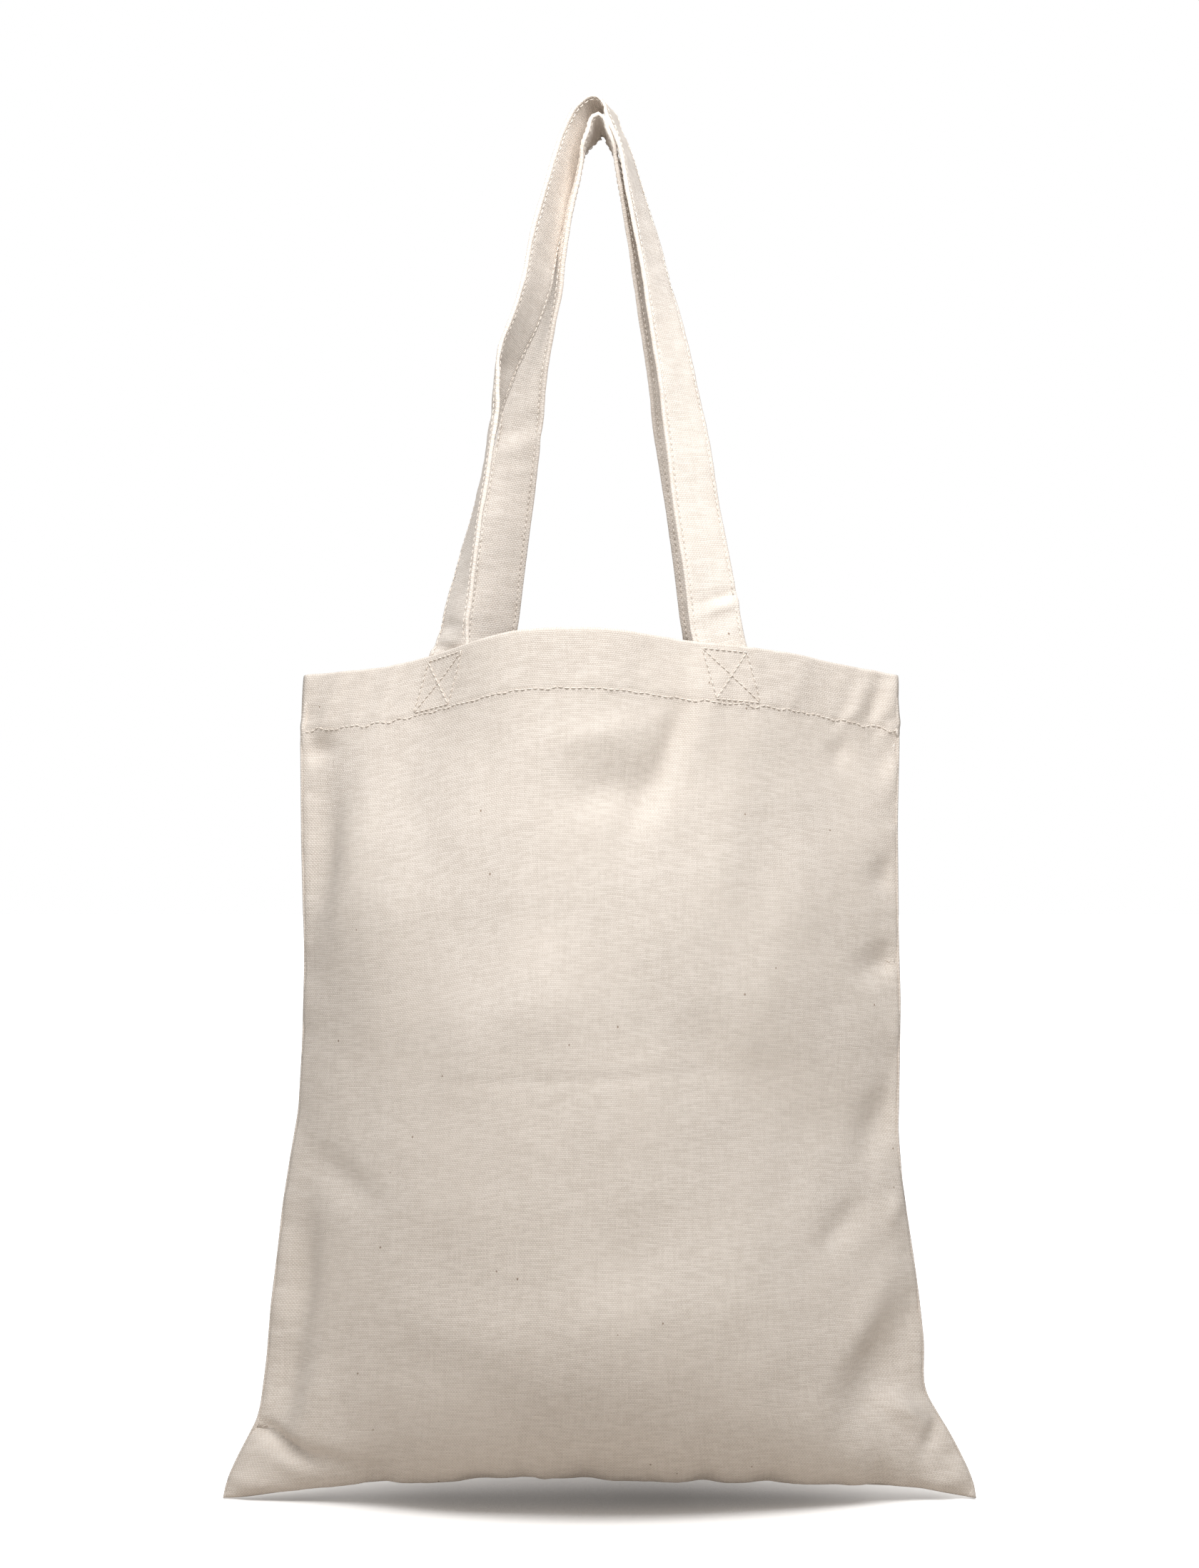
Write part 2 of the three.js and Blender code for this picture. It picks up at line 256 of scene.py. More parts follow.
class Panel:
    """One canvas panel: the outer face as a grid of points, with its normals."""

    COLUMNS = 160
    ROWS = 150
    HEM_ROWS = 32

    def __init__(self, side, mouth_rise, mouth_out, folds, puckers, seed):
        self.side = side
        self.seed = seed
        self.mouth_rise = mouth_rise
        self.mouth_out = mouth_out
        # the rows are closer together near the bottom seam, and closest in the hem
        hem = 1 - (HEM_DEPTH + 2) / BODY_HEIGHT
        body_rows = np.linspace(0, 1, self.ROWS) ** 1.12 * hem
        self.t = np.concatenate([body_rows, np.linspace(hem, 1, self.HEM_ROWS + 1)[1:]])
        self.s = np.linspace(-1, 1, self.COLUMNS)
        s, t = np.meshgrid(self.s, self.t)
        self.face = self.pillow(s, t)
        self.face = self.face + self.relief(s, t, folds, puckers)[..., None] * self.normals()
        self.normal = self.normals()

    def pillow(self, s, t):
        """The smooth full shape of the panel, without folds."""
        height = t * BODY_HEIGHT
        left = profile(LEFT_EDGE, height, 4)
        right = profile(RIGHT_EDGE, height, 4)
        x = s * np.where(s < 0, left, right)
        bottom = FLOOR + profile(BOTTOM_EDGE, s, 0.02)
        mouth = FLOOR + BODY_HEIGHT + profile(self.mouth_rise, s, 0.04)
        z = lerp(bottom, mouth, t)

        from_fullest = s - self.side * LEAN * (1 - s * s) * smoothstep(height, 60, 200)
        closing = smoothstep(height, SHOULDER, BODY_HEIGHT)
        rounding = np.sqrt(1 - (1 - np.clip(height / BOTTOM_ROUND, 0, 1)) ** 2)
        belly = lerp(BELLY, BELLY_AT_MOUTH, closing) * (1 - from_fullest ** 2) * rounding
        at_mouth = profile(self.mouth_out, s, 0.045)
        out = lerp(belly, at_mouth, smoothstep(height, MOUTH_FROM, BODY_HEIGHT - MOUTH_COLLAR))
        from_side = (1 - np.abs(s)) * FLAT_HALF_WIDTH
        out = out - SEAM_GROOVE * np.exp(-((from_side / SEAM_GROOVE_WIDTH) ** 2))
        return np.stack([x, self.side * (out + SEAM_HALF_THICK), z], axis=-1)

    def relief(self, s, t, folds, puckers):
        """Height of the folds, wrinkles, puckers and hem over the smooth shape."""
        x, z = self.face[..., 0], self.face[..., 2]
        from_side = (1 - np.abs(s)) * FLAT_HALF_WIDTH
        from_bottom = t * FLAT_HEIGHT
        from_mouth = (1 - t) * BODY_HEIGHT
        total = FOLD_GAIN * sum(fold(x, z, *each) for each in folds)
        total = total * smoothstep(from_side, -2, 7) * smoothstep(from_bottom, -2, 8)
        total += self.wrinkles(x, z, from_side, from_bottom)
        total += self.side_puckers(s, z, from_side)
        total += self.bottom_puckers(x, from_bottom, puckers)
        total += self.hem_relief(s, x, from_mouth)
        return total

    def wrinkles(self, x, z, from_side, from_bottom):
        """The soft unevenness of handled cloth, away from the seams."""
        inside = smoothstep(from_side, 0, 14) * smoothstep(from_bottom, 0, 14)
        broad = 0.55 * ripples(x, z, self.seed, 110)
        middling = 0.16 * ripples(x, z, self.seed + 1, 42)
        fine = 0.045 * ripples(x * 0.5, z, self.seed + 2, 9)
        return inside * (broad + middling + fine)

    def side_puckers(self, s, z, from_side):
        """The side seams draw the canvas into small puckers, not the same ones left and right."""
        along = z + np.sign(s) * 7
        pucker = 0.6 * wobble(along, self.seed + 3, 27) + 0.22 * wobble(along, self.seed + 4, 11)
        return pucker * np.exp(-from_side / 9) * smoothstep(from_side, 0, 3)

    def bottom_puckers(self, x, from_bottom, puckers):
        """So does the bottom seam, and more strongly at the listed places."""
        pucker = 0.35 * wobble(x, self.seed + 5, 26) + 0.15 * wobble(x, self.seed + 6, 9)
        total = pucker * np.exp(-from_bottom / 12) * smoothstep(from_bottom, 0, 4)
        for at, width in puckers:
            dip = np.exp(-((x - at) / width) ** 2 - (from_bottom / 17) ** 2)
            total -= PUCKER_DEPTH * dip * smoothstep(from_bottom, -2, 5)
        return total

    def hem_relief(self, s, x, from_mouth):
        """Three layers, the stitching that draws them in, and the roping beside it."""
        from_line = from_mouth - HEM_LINE
        step = 0.45 * smoothstep(HEM_DEPTH - from_mouth, -0.8, 0.8)
        groove = 0.35 * np.exp(-((from_line / 1.3) ** 2))
        # the cloth ropes most towards the ends of the hem
        ends = 0.5 + smoothstep(np.abs(s), 0.55, 0.95)
        near_line = np.exp(-((from_line / 6) ** 2))
        in_hem = smoothstep(-from_mouth, -34, -20)
        roping = 0.24 * wobble(x + 0.5 * from_mouth, self.seed + 7, 8.5) * near_line
        roping += 0.22 * wobble(x + 0.35 * from_mouth, self.seed + 8, 17) * in_hem
        return step - groove + ends * roping

    def normals(self):
        across = np.gradient(self.face, axis=1)
        upward = np.gradient(self.face, axis=0)
        normal = np.cross(across, upward) * -self.side
        # the bottom row's own direction isn't steady, so the row above lends it one
        normal[0] = normal[1]
        return normal / np.linalg.norm(normal, axis=-1, keepdims=True)

    def at(self, s, t, offset=0.0):
        """Points on the finished face, or off it by an offset, and the normals there."""
        s, t = np.broadcast_arrays(np.asarray(s, float), np.asarray(t, float))
        j = np.clip(np.searchsorted(self.s, s) - 1, 0, len(self.s) - 2)
        i = np.clip(np.searchsorted(self.t, t) - 1, 0, len(self.t) - 2)
        a = ((s - self.s[j]) / (self.s[j + 1] - self.s[j]))[..., None]
        b = ((t - self.t[i]) / (self.t[i + 1] - self.t[i]))[..., None]

        def mix(grid):
            low = lerp(grid[i, j], grid[i, j + 1], a)
            high = lerp(grid[i + 1, j], grid[i + 1, j + 1], a)
            return lerp(low, high, b)

        normal = mix(self.normal)
        normal /= np.linalg.norm(normal, axis=-1, keepdims=True)
        return mix(self.face) + normal * offset, normal

    def s_at(self, x):
        """s at the mouth for a distance from the middle."""
        return float(np.interp(x, self.face[-1, :, 0], self.s))

    def slope_at(self, x):
        """How much of a width along the mouth shows from the front, where the mouth turns away."""
        s = self.s_at(x)
        a, b = self.at(np.array([s - 0.06, s + 0.06]), 1.0)[0]
        return (b - a)[0] / float(np.linalg.norm((b - a)[:2]))


# ---- meshes ----------------------------------------------------------------------------------------


def add_object(name, data):
    obj = bpy.data.objects.new(name, data)
    bpy.context.scene.collection.objects.link(obj)
    return obj


def mesh_object(name, points, faces, material, uv=None):
    """A smooth object from points in millimetres; uv is in millimetres of cloth."""
    mesh = bpy.data.meshes.new(name)
    mesh.from_pydata((np.asarray(points) * MM).tolist(), [], faces)
    if uv is not None:
        layer = mesh.uv_layers.new(name="cloth")
        corner = np.empty(len(mesh.loops), dtype=np.int32)
        mesh.loops.foreach_get("vertex_index", corner)
        layer.data.foreach_set("uv", (np.asarray(uv)[corner] * MM).astype(np.float32).ravel())
    mesh.polygons.foreach_set("use_smooth", [True] * len(mesh.polygons))
    turn_outward(mesh)
    mesh.materials.append(material)
    return add_object(name, mesh)


def turn_outward(mesh):
    bm = bmesh.new()
    bm.from_mesh(mesh)
    bmesh.ops.recalc_face_normals(bm, faces=bm.faces)
    bm.to_mesh(mesh)
    bm.free()


def ring_faces(rows, columns):
    """Quads between rows of a grid whose last row joins its first."""
    i, j = np.meshgrid(np.arange(rows), np.arange(columns - 1), indexing="ij")
    here = i * columns + j
    there = (i + 1) % rows * columns + j
    return np.stack([here, here + 1, there + 1, there], -1).reshape(-1, 4).tolist()


def end_faces(rows, columns):
    """The faces that close such a grid at its first column and at its last."""
    first = [k * columns for k in range(rows)]
    last = [k * columns + columns - 1 for k in range(rows)]
    return [first, last[::-1]]


def cloth_uv(u, v):
    """uv for a grid, from the values of its rows and of its columns."""
    return np.stack(np.broadcast_arrays(u[:, None], v[None, :]), -1).reshape(-1, 2)


ROLL_TURNS = (45, 90, 135)


def rolled_edge(outer, inner):
    """Rows that round the mouth's edge, over from the outer face to the inner one."""
    middle = (outer + inner) / 2
    rows = []
    for turn in ROLL_TURNS:
        a = math.radians(turn)
        rise = 0.8 * HEM_THICK / 2 * math.sin(a)
        rows.append(middle + (outer - middle) * math.cos(a) + np.array([0, 0, rise]))
    return np.array(rows)


def side_caps(face_rows, all_rows, columns):
    """Faces that close a panel's sheet down both sides and at the ends of its rolled edge."""
    rings = []
    last = all_rows - 1
    for i in range(face_rows - 1):
        rings += [(j, (i, i + 1, last - i - 1, last - i)) for j in (0, columns - 1)]
    over = range(face_rows - 1, face_rows + len(ROLL_TURNS) + 1)
    rings += [(j, over) for j in (0, columns - 1)]
    return [[row * columns + j for row in rows] for j, rows in rings]


def panel_mesh(name, panel, material):
    """The panel as a closed sheet: outer face, rolled top edge, turned-in hem and inner face."""
    from_mouth = (1 - panel.t) * BODY_HEIGHT
    thick = lerp(CANVAS, HEM_THICK, smoothstep(HEM_DEPTH + 0.4 - from_mouth, -0.6, 0.6))
    inner = panel.face - panel.normal * thick[:, None, None]
    roll = rolled_edge(panel.face[-1], inner[-1])
    rows = np.concatenate([panel.face, roll, inner[::-1]])
    count, columns = rows.shape[:2]
    faces = ring_faces(count, columns) + side_caps(len(panel.t), count, columns)
    heights = np.concatenate([panel.t, np.ones(len(roll)), panel.t[::-1]]) * FLAT_HEIGHT
    # the rows run up the cloth, so u and v change places
    uv = cloth_uv(heights, panel.s * FLAT_HALF_WIDTH)[:, ::-1]
    return mesh_object(name, rows.reshape(-1, 3), faces, material, uv)


# A stitch is a row of rings: their places along it, their fatness, and their height off the line
STITCH_RINGS = np.array([-0.5, -0.34, 0.0, 0.34, 0.5])
STITCH_ROUND = np.array([0.25, 0.85, 1.0, 0.85, 0.25])
STITCH_RISE = np.array([-0.35, 0.16, 0.3, 0.16, -0.35])
STITCH_SIDES = 6


def stitch_faces(start):
    """Faces of one stitch whose points begin at that number."""
    rings = len(STITCH_RINGS)
    made = []
    for r in range(rings - 1):
        low = start + r * STITCH_SIDES
        high = low + STITCH_SIDES
        for k in range(STITCH_SIDES):
            n = (k + 1) % STITCH_SIDES
            made.append([low + k, low + n, high + n, high + k])
    first = [start + k for k in range(STITCH_SIDES)]
    made.append(first[::-1])
    made.append([k + (rings - 1) * STITCH_SIDES for k in first])
    return made


def stitches(rows, length=2.6, pitch=3.1, radius=0.29):
    """Points and faces of the stitches along each row of (points, normals)."""
    all_points, all_faces = [], []
    for points, normals in rows:
        gaps = np.linalg.norm(np.diff(points, axis=0), axis=1)
        distance = np.concatenate([[0], np.cumsum(gaps)])
        for middle in np.arange(pitch / 2, distance[-1], pitch):
            at = middle + STITCH_RINGS * length
            centre = np.stack([np.interp(at, distance, points[:, k]) for k in range(3)], -1)
            up = np.array([np.interp(middle, distance, normals[:, k]) for k in range(3)])
            up /= np.linalg.norm(up)
            sideways = np.cross(centre[-1] - centre[0], up)
            sideways /= max(np.linalg.norm(sideways), 1e-9)
            all_faces += stitch_faces(len(all_points))
            for ring, fat, rise in zip(centre, STITCH_ROUND, STITCH_RISE):
                for k in range(STITCH_SIDES):
                    a = 2 * math.pi * k / STITCH_SIDES
                    swing = sideways * math.cos(a) + up * math.sin(a)
                    all_points.append(ring + up * rise + swing * radius * fat)
    return all_points, all_faces


def stitch_object(name, rows, **sizes):
    points, faces = stitches(rows, **sizes)
    return mesh_object(name, np.array(points), faces, THREAD_LOOK)


# ---- handles ---------------------------------------------------------------------------------------

# Each leg from just above the hem to the crown: height z, x of the strap's middle, its turn in degrees
# about the vertical (at 0 it faces the front, at 90 its inner edge is in front), and its cupping.
FRONT_LEFT = [
    (-259, -71.7, 57, 0.2), (-245, -69.2, 61, 0.2), (-229, -66.2, 68, 0.3), (-200, -60.2, 79, 0.6),
    (-174, -54.6, 85, 1.6), (-154, -51.2, 88, 2.6), (-136, -48.0, 99, 3.0), (-120, -44.6, 113, 1.6),
    (-103, -37.6, 118, 0.4), (-85, -32.0, 119, 0), (-63, -27.7, 120, 0), (-42, -22.2, 119, 0),
    (-22, -16.9, 118, 0),
]
FRONT_RIGHT = [
    (-259, 57.4, 15, 0.1), (-245, 55.4, 19, 0.2), (-229, 53.0, 24, 0.2), (-200, 48.2, 29, 0.2),
    (-168, 44.0, 34, 0.2), (-143, 40.2, 41, 0.2), (-117, 35.6, 47, 0.1), (-95, 31.2, 54, 0),
    (-69, 25.7, 62, 0), (-55, 22.6, 66, 0), (-34, 17.4, 70, 0), (-13, 12.2, 76, 0),
]
BACK_LEFT = [
    (-259, -56.6, -12, 0), (-245, -54.8, -4, 0), (-223, -52.0, 6, 0.1), (-187, -46.5, 19, 0.3),
    (-150, -40.6, 33, 0.5), (-122, -36.3, 43, 0.5), (-107, -32.4, 49, 0.4), (-90, -28.3, 55, 0.3),
    (-76, -25.1, 61, 0.2), (-49, -18.6, 72, 0), (-32, -13.2, 79, 0), (-16, -8.4, 86, 0),
]
BACK_RIGHT = [
    (-259, 56.6, -12, 0), (-245, 54.8, -4, 0), (-223, 52.0, 6, 0.1), (-187, 46.1, 19, 0.3),
    (-150, 38.6, 33, 0.5), (-122, 34.0, 43, 0.5), (-107, 30.6, 49, 0.4), (-90, 26.7, 55, 0.3),
    (-76, 23.4, 61, 0.2), (-49, 17.0, 72, 0), (-32, 12.2, 79, 0), (-16, 8.0, 86, 0),
]

# The crown from left to right: x and z of the strap's middle, and how many degrees its width turns from
# front to back
FRONT_CROWN = [(-9.9, -3.0, 28), (-6.2, 3.4, 28), (0.6, 7.9, 24), (4.3, 6.4, 17), (7.0, 0.0, 14)]
BACK_CROWN = [(-4.2, -7.6, 3), (-2.4, -3.6, 7), (0.5, -1.8, 10), (3.0, -3.4, 8), (4.8, -7.8, 4)]
# Where each leg comes out of the hem, and how much it splays on its way down inside
FRONT_FEET = (-75.2, 60.4)
BACK_FEET = (-57.4, 57.4)
FOOT_SPLAY = 0.25
# Depths below the mouth at which the sewn length of a leg is placed, from its cut end upwards
SEWN_DEPTHS = (SEWN_LENGTH, 0.66 * SEWN_LENGTH, 0.33 * SEWN_LENGTH, 0.5)


def leg_stations(rows, outward_sign, y_hem):
    """Middles, inward directions and cupping up one leg, which leans in to y = 0 at the crown."""
    made = []
    for z, x, turn, cup in rows:
        share = np.clip((z - rows[0][0]) / -rows[0][0], 0, 1)
        y = y_hem * (1 - share)
        a = math.radians(turn)
        inward = np.array([-outward_sign * math.cos(a), -math.sin(a), 0])
        made.append((np.array([x, y, z], float), inward, cup))
    return made


def sewn_stations(panel, x):
    """The length sewn inside the hem, from its cut end up to the mouth."""
    made = []
    inside = HEM_THICK + STRAP_THICK / 2 + SEWN_GAP
    for down in SEWN_DEPTHS:
        t = 1 - down / BODY_HEIGHT
        s = panel.s_at(x + np.sign(x) * FOOT_SPLAY * down)
        (point, nearer, further), _ = panel.at(np.array([s, s - 0.03, s + 0.03]), t, -inside)
        across = further - nearer
        across *= -np.sign(x) / np.linalg.norm(across)
        made.append((point, across, 0.0))
    return made


def spline(values, knots, at):
    """A smooth curve through values at knots, sampled at other places."""
    values = np.asarray(values, float)
    if values.ndim == 1:
        values = values[:, None]
    slopes = np.gradient(values, knots, axis=0)
    i = np.clip(np.searchsorted(knots, at) - 1, 0, len(knots) - 2)
    span = (knots[i + 1] - knots[i])[:, None]
    x = (at - knots[i])[:, None] / span
    start, start_slope = 2 * x**3 - 3 * x**2 + 1, x**3 - 2 * x**2 + x
    end, end_slope = -2 * x**3 + 3 * x**2, x**3 - x**2
    curve = start * values[i] + end * values[i + 1]
    return curve + span * (start_slope * slopes[i] + end_slope * slopes[i + 1])


def loop_stations(panel, left, right, feet, crown, tilt):
    """Every station of a handle in order: up the left leg, over the crown and down the right one."""
    sewn_left = sewn_stations(panel, feet[0])
    sewn_right = sewn_stations(panel, feet[1])
    # each leg leans in a little as soon as it leaves the mouth
    up = sewn_left + leg_stations(left, -1, sewn_left[-1][0][1] * 0.98)
    down = sewn_right + leg_stations(right, 1, sewn_right[-1][0][1] * 0.98)
    rise = math.tan(math.radians(tilt))
    over = []
    for x, z, turn in crown:
        a = math.radians(turn)
        over.append((np.array([x, 0.0, z]), np.array([-math.sin(a), -math.cos(a), rise]), 0.0))
    return up + over + down[::-1]


class Strap:
    """A handle's strap as frames along its length: middle, direction, inward and outer face."""

    STEP = 1.6

    def __init__(self, stations):
        middles = np.array([middle for middle, _, _ in stations])
        gaps = np.linalg.norm(np.diff(middles, axis=0), axis=1)
        knots = np.concatenate([[0], np.cumsum(gaps)])
        self.length = knots[-1]
        self.along = np.linspace(0, self.length, int(self.length / self.STEP))
        self.middle = spline(middles, knots, self.along)
        self.cup = spline([cup for _, _, cup in stations], knots, self.along)[:, 0]
        inward = spline([direction for _, direction, _ in stations], knots, self.along)
        direction = np.gradient(self.middle, axis=0)
        self.direction = direction / np.linalg.norm(direction, axis=1, keepdims=True)
        inward -= (inward * self.direction).sum(1, keepdims=True) * self.direction
        self.inward = inward / np.linalg.norm(inward, axis=1, keepdims=True)
        self.face = np.cross(self.inward, self.direction)

    def place(self, across, out):
        """A line of points at one distance across the strap, off its middle surface by out."""
        bent = self.cup * (1 - (across / STRAP_HALF) ** 2)
        return self.middle + self.inward * across + self.face * (out + bent)[:, None]

    def row(self, across, out, first, last):
        """A line of stitching along one face, and the normals there."""
        sign = 1.0 if out > 0 else -1.0
        return self.place(across, out)[first:last], self.face[first:last] * sign


# Half a section of the strap: how far in from its edge, and half its thickness there. The dip is the
# groove that the stitching along the edge draws.
SECTION = [0, 0.25, 0.9, 1.6, 2.3, 3.0, 4.2, 7.0, 10.2]
SECTION_HALF = [0.35, 0.85, 1.12, 1.1, 0.84, 1.08, 1.15, 1.1, 1.06]


def section_points():
    """Places across the whole strap, and half its thickness at each."""
    across = [x - STRAP_HALF for x in SECTION] + [0.0] + [STRAP_HALF - x for x in SECTION[::-1]]
    half = SECTION_HALF + [SECTION_HALF[-1]] + SECTION_HALF[::-1]
    return np.array(across), np.array(half)


def strap_mesh(name, strap, creases, seed, material):
    """The folded strap as a closed tube of its section, with its creases and soft waves."""
    across, half = section_points()
    length, width = strap.along[:, None], across[None, :]
    relief = 0.16 * ripples(length, width, seed, 34) + 0.05 * ripples(length, width, seed + 1, 9)
    for at, side, *shape in creases:
        relief += fold(length, width, (at, side), *shape)
    thickness = half * (1 + 0.06 * ripples(length, width, seed + 2, 14))
    columns = range(len(across))
    top = [strap.place(across[k], relief[:, k] + thickness[:, k]) for k in columns]
    bottom = [strap.place(across[k], relief[:, k] - thickness[:, k]) for k in columns]
    ring = np.array(top + bottom[::-1])
    faces = ring_faces(*ring.shape[:2]) + end_faces(*ring.shape[:2])
    uv = cloth_uv(np.concatenate([across, across[::-1]]), strap.along)
    return mesh_object(name, ring.reshape(-1, 3), faces, material, uv)


# ---- materials -------------------------------------------------------------------------------------

WARP_PITCH = 0.75 * MM
WEFT_PITCH = 0.97 * MM
HUSK = [0.23, 0.14, 0.08, 1]
THREAD_DEEP = [0.72, 0.64, 0.56, 1]
THREAD_PALE = [0.91, 0.86, 0.80, 1]
THREAD_WARM = [0.78, 0.67, 0.57, 1]

FLOOR_BOUNCE = [0.60, 0.555, 0.505, 1]     # the floor as it lights the bag
FLOOR_SHOWN = [2.6, 2.6, 2.6, 1]           # and as the camera sees it in the open
FLOOR_SHADE = [0.25, 0.25, 0.25, 1]        # or close under the bag, as a painted shadow
FLOOR_GLOW = 0.03


class Nodes:
    """Short calls for building a material's nodes."""

    def __init__(self, name):
        self.material = bpy.data.materials.new(name)
        self.material.use_nodes = True
        self.tree = self.material.node_tree
        self.shader = self.tree.nodes["Principled BSDF"]

    def new(self, kind, **settings):
        node = self.tree.nodes.new(kind)
        for key, value in settings.items():
            setattr(node, key, value)
        return node

    def link(self, source, target):
        self.tree.links.new(source, target)

    def put(self, socket, value):
        if isinstance(value, bpy.types.NodeSocket):
            self.link(value, socket)
        else:
            socket.default_value = value

    def math(self, operation, a, b=0.0, c=None):
        node = self.new("ShaderNodeMath", operation=operation)
        self.put(node.inputs[0], a)
        self.put(node.inputs[1], b)
        if c is not None:
            self.put(node.inputs[2], c)
        return node.outputs[0]

    def pair(self, x, y):
        node = self.new("ShaderNodeCombineXYZ")
        self.put(node.inputs[0], x)
        self.put(node.inputs[1], y)
        return node.outputs[0]

    def noise(self, vector, scale, detail=2.0):
        node = self.new("ShaderNodeTexNoise", noise_dimensions="3D")
        self.link(vector, node.inputs["Vector"])
        node.inputs["Scale"].default_value = scale
        node.inputs["Detail"].default_value = detail
        return node.outputs["Fac"]

    def mix(self, factor, a, b):
        """Colour a where the factor is 0, and b where it is 1."""
        node = self.new("ShaderNodeMix", data_type="RGBA", blend_type="MIX")
        self.put(node.inputs[0], factor)
        self.put(node.inputs[6], a)
        self.put(node.inputs[7], b)
        return node.outputs[2]

    def ramp(self, value, low, high):
        """value from low to high as 0 to 1, smoothly."""
        node = self.new("ShaderNodeMapRange", interpolation_type="SMOOTHSTEP")
        self.put(node.inputs["Value"], value)
        node.inputs["From Min"].default_value = low
        node.inputs["From Max"].default_value = high
        return node.outputs["Result"]

    def bump(self, height, strength, distance):
        node = self.new("ShaderNodeBump")
        node.inputs["Strength"].default_value = strength
        node.inputs["Distance"].default_value = distance
        self.link(height, node.inputs["Height"])
        self.link(node.outputs[0], self.shader.inputs["Normal"])


def scaled(colour, red, green, blue):
    """A colour with its channels multiplied, and none above 1."""
    return [min(1.0, c * k) for c, k in zip(colour, (red, green, blue))] + [1]


def thread_slubs(n, u, v, warp, weft):
    """How thick the threads are: each has its own thickness, which changes along it."""
    weft_place = n.pair(n.math("MULTIPLY", u, 110.0), n.math("MULTIPLY", n.math("FLOOR", weft), 7.31))
    warp_place = n.pair(n.math("MULTIPLY", n.math("FLOOR", warp), 5.17), n.math("MULTIPLY", v, 80.0))
    weft_slub = n.math("MULTIPLY", n.noise(weft_place, 1.0, 3.0), 0.65)
    warp_slub = n.math("MULTIPLY", n.noise(warp_place, 1.0, 2.0), 0.35)
    return n.math("ADD", weft_slub, warp_slub)


def husk_specks(n, u, v):
    """Where the small brown specks of seed husk are: about every second cell of a scatter has one."""
    scatter = n.new("ShaderNodeTexVoronoi", feature="F1")
    n.link(n.pair(u, n.math("MULTIPLY", v, 0.85)), scatter.inputs["Vector"])
    scatter.inputs["Scale"].default_value = 75.0
    near = n.ramp(n.math("MULTIPLY", scatter.outputs["Distance"], -1.0), -0.052, -0.026)
    chance = n.new("ShaderNodeSeparateColor")
    n.link(scatter.outputs["Color"], chance.inputs[0])
    speck = n.math("MULTIPLY", near, n.math("GREATER_THAN", chance.outputs[0], 0.5))
    return n.math("MULTIPLY", speck, 0.75)


def canvas_material(name, colour, warm):
    """Plain-weave cotton canvas: checks of over and under, slubby threads, specks of husk, and painted
    shade and highlight on the weave.
    """
    n = Nodes(name)
    uv = n.new("ShaderNodeUVMap", uv_map="cloth").outputs[0]
    split = n.new("ShaderNodeSeparateXYZ")
    n.link(uv, split.inputs[0])
    u, v = split.outputs[0], split.outputs[1]

    # threads wander a little
    drift = n.math("MULTIPLY_ADD", n.noise(uv, 90.0), 0.9, -0.45)
    warp = n.math("ADD", n.math("MULTIPLY", u, 1 / WARP_PITCH), drift)
    weft = n.math("ADD", n.math("MULTIPLY", v, 1 / WEFT_PITCH), drift)
    warp_wave = n.math("SINE", n.math("MULTIPLY", warp, math.pi))
    weft_wave = n.math("SINE", n.math("MULTIPLY", weft, math.pi))
    check = n.math("MULTIPLY", warp_wave, weft_wave)
    raised = n.math("POWER", n.math("ABSOLUTE", check), 0.5)
    over = n.ramp(check, -0.45, 0.45)
    slub = thread_slubs(n, u, v, warp, weft)

    # pale thick threads, dark thin ones, and warm patches over both
    pale = scaled(colour, 1.045, 1.045, 1.045)
    dark = scaled(colour, 0.81, 0.79, 0.765)
    # the colour of the painted shade in the pits between threads
    painted_pit_shade = scaled(colour, 0.60, 0.50, 0.44)
    base = n.mix(n.ramp(slub, 0.36, 0.64), dark, pale)
    patches = n.math("MULTIPLY", n.ramp(n.noise(uv, 14.0, 3.0), 0.42, 0.70), 0.35)
    base = n.mix(patches, base, [*warm, 1])
    # painted shade in the pits between threads, a painted highlight on the threads on top and painted
    # shade on those below
    base = n.mix(n.math("MULTIPLY", n.math("SUBTRACT", 1.0, raised), 0.34), base, painted_pit_shade)
    base = n.mix(n.math("MULTIPLY", over, 0.55), base, pale)
    base = n.mix(n.math("MULTIPLY", n.math("SUBTRACT", 1.0, over), 0.30), base, dark)
    base = n.mix(husk_specks(n, u, v), base, HUSK)
    n.link(base, n.shader.inputs["Base Color"])

    n.link(n.math("MULTIPLY_ADD", slub, 0.12, 0.80), n.shader.inputs["Roughness"])
    n.shader.inputs["Specular IOR Level"].default_value = 0.25
    n.shader.inputs["Sheen Weight"].default_value = 0.12
    n.shader.inputs["Sheen Roughness"].default_value = 0.5

    height = n.math("MULTIPLY_ADD", slub, 0.9, n.math("MULTIPLY_ADD", over, 0.7, raised))
    fuzz = n.noise(uv, 2600.0, 1.0)
    n.bump(n.math("MULTIPLY_ADD", fuzz, 0.25, height), 0.7, 0.2 * MM)
    return n.material


def thread_material():
    """Cotton sewing thread, twisted, a little paler than the canvas."""
    n = Nodes("sewing_thread")
    place = n.new("ShaderNodeTexCoord").outputs["Object"]
    twist = n.noise(place, 2200.0)
    base = n.mix(n.ramp(twist, 0.3, 0.7), THREAD_DEEP, THREAD_PALE)
    base = n.mix(n.math("MULTIPLY", n.noise(place, 60.0), 0.3), base, THREAD_WARM)
    n.link(base, n.shader.inputs["Base Color"])
    n.link(n.math("MULTIPLY_ADD", twist, 0.15, 0.62), n.shader.inputs["Roughness"])
    n.shader.inputs["Sheen Weight"].default_value = 0.15
    n.bump(twist, 0.5, 0.1 * MM)
    return n.material


